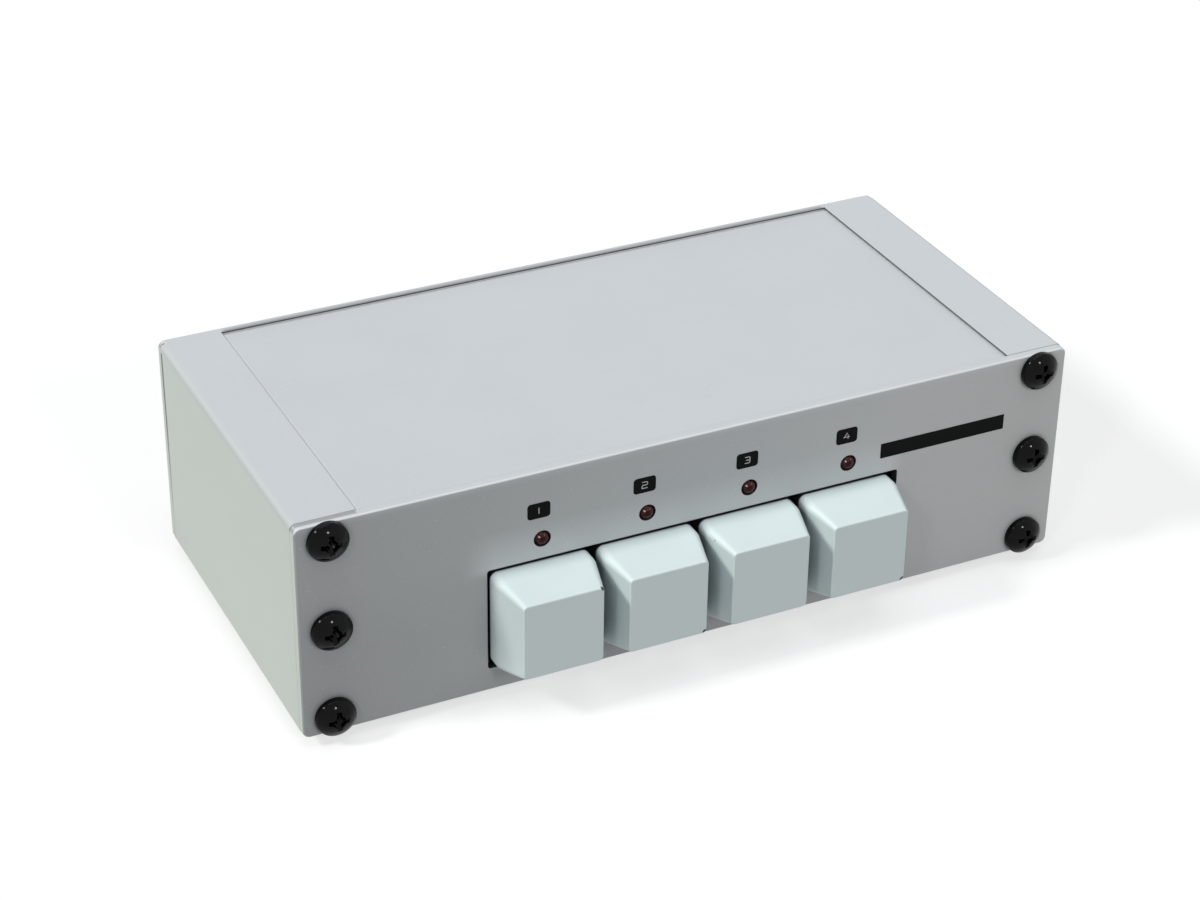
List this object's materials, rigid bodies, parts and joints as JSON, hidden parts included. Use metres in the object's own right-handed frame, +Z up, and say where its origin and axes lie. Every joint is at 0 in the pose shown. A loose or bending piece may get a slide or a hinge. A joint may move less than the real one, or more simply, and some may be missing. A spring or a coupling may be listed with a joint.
{
  "type": "audio video selector switch",
  "caption": "Flat silver metal box with a row of pale square push keys under small lamps, which sends the chosen audio and video input to the output.",
  "frame": {"origin": "middle of the footprint on the surface that the feet stand on", "axes": "+X to the right as seen from the front, along the key row; +Y from the front panel to the sockets at the back; +Z up"},
  "size_m": [0.168, 0.0996, 0.0501],
  "materials": {
    "case_aluminium": "satin clear anodised",
    "panel_aluminium": "satin, finely brushed along its length",
    "black_screw": "glossy black",
    "foot_rubber": "matt black rubber",
    "key_white": "smooth pale moulded plastic",
    "plunger_white": "natural white moulded plastic",
    "spring_wire": "bright drawn wire",
    "frame_steel": "zinc plated sheet",
    "moulded_black": "black moulded plastic",
    "tinned_metal": "tinned",
    "small_screw": "zinc plated",
    "lamp_red": "clear deep red, unlit",
    "circuit_board": "brown phenolic board",
    "chip_black": "black chips with bright ends",
    "ribbon_grey": "grey flexible insulation",
    "standoff_brass": "turned brass",
    "capacitor_sleeve": "dark shrunk sleeve",
    "plated_barrel": "nickel plated",
    "plated_contact": "nickel plated",
    "insulator_yellow": "yellow moulded plastic",
    "insulator_white": "white moulded plastic",
    "insulator_red": "red moulded plastic"
  },
  "bodies": {
    "case": {"board_screws": "small_screw", "board_standoffs": "standoff_brass", "bottom_cover": "case_aluminium", "bracket_screws": "small_screw", "centre_contacts": "plated_contact", "filter_capacitor": "capacitor_sleeve", "foot_front_left": "foot_rubber", "foot_front_right": "foot_rubber", "foot_rear_left": "foot_rubber", "foot_rear_right": "foot_rubber", "front_panel": "panel_aluminium", "front_panel_screws": "black_screw", "indicator_lamp_1": "lamp_red", "indicator_lamp_2": "lamp_red", "indicator_lamp_3": "lamp_red", "indicator_lamp_4": "lamp_red", "input_1_barrels": "plated_barrel", "input_1_jack_block": "moulded_black", "input_2_barrels": "plated_barrel", "input_2_jack_block": "moulded_black", "input_3_barrels": "plated_barrel", "input_3_jack_block": "moulded_black", "input_4_barrels": "plated_barrel", "input_4_jack_block": "moulded_black", "lamp_board": "circuit_board", "lamp_resistors": "chip_black", "lamp_ribbon_cable": "ribbon_grey", "latch_spring": "spring_wire", "left_audio_insulators": "insulator_white", "left_side_profile": "case_aluminium", "main_board": "circuit_board", "output_barrels": "plated_barrel", "output_jack_block": "moulded_black", "power_inlet": "moulded_black", "power_inlet_pin": "plated_contact", "rear_panel": "panel_aluminium", "rear_panel_screws": "black_screw", "return_spring_1": "spring_wire", "return_spring_2": "spring_wire", "return_spring_3": "spring_wire", "return_spring_4": "spring_wire", "right_audio_insulators": "insulator_red", "right_side_profile": "case_aluminium", "switch_body_1": "moulded_black", "switch_body_2": "moulded_black", "switch_body_3": "moulded_black", "switch_body_4": "moulded_black", "switch_frame": "frame_steel", "switch_pins": "tinned_metal", "top_cover": "case_aluminium", "video_insulators": "insulator_yellow"},
    "latch": {"latch_bar": "frame_steel"},
    "key_1": {"keycap_1": "key_white", "plunger_1": "plunger_white"},
    "key_2": {"keycap_2": "key_white", "plunger_2": "plunger_white"},
    "key_3": {"keycap_3": "key_white", "plunger_3": "plunger_white"},
    "key_4": {"keycap_4": "key_white", "plunger_4": "plunger_white"}
  },
  "joints": [
    {"name": "key_1_press", "type": "slide", "parent": "case", "child": "key_1", "axis": [0, 1, 0], "range_m": [0, 0.005], "stiffness_N_per_m": 300, "springref_m": -0.004, "deforming": ["return_spring_1"]},
    {"name": "key_2_press", "type": "slide", "parent": "case", "child": "key_2", "axis": [0, 1, 0], "range_m": [0, 0.005], "stiffness_N_per_m": 300, "springref_m": -0.004, "deforming": ["return_spring_2"]},
    {"name": "key_3_press", "type": "slide", "parent": "case", "child": "key_3", "axis": [0, 1, 0], "range_m": [0, 0.005], "stiffness_N_per_m": 300, "springref_m": -0.004, "deforming": ["return_spring_3"]},
    {"name": "key_4_press", "type": "slide", "parent": "case", "child": "key_4", "axis": [0, 1, 0], "range_m": [0, 0.005], "stiffness_N_per_m": 300, "springref_m": -0.004, "deforming": ["return_spring_4"]},
    {"name": "latch_slide", "type": "slide", "parent": "case", "child": "latch", "axis": [1, 0, 0], "range_m": [-0.0012, 0], "stiffness_N_per_m": 500, "springref_m": 0.002, "deforming": ["latch_spring"]}
  ]
}
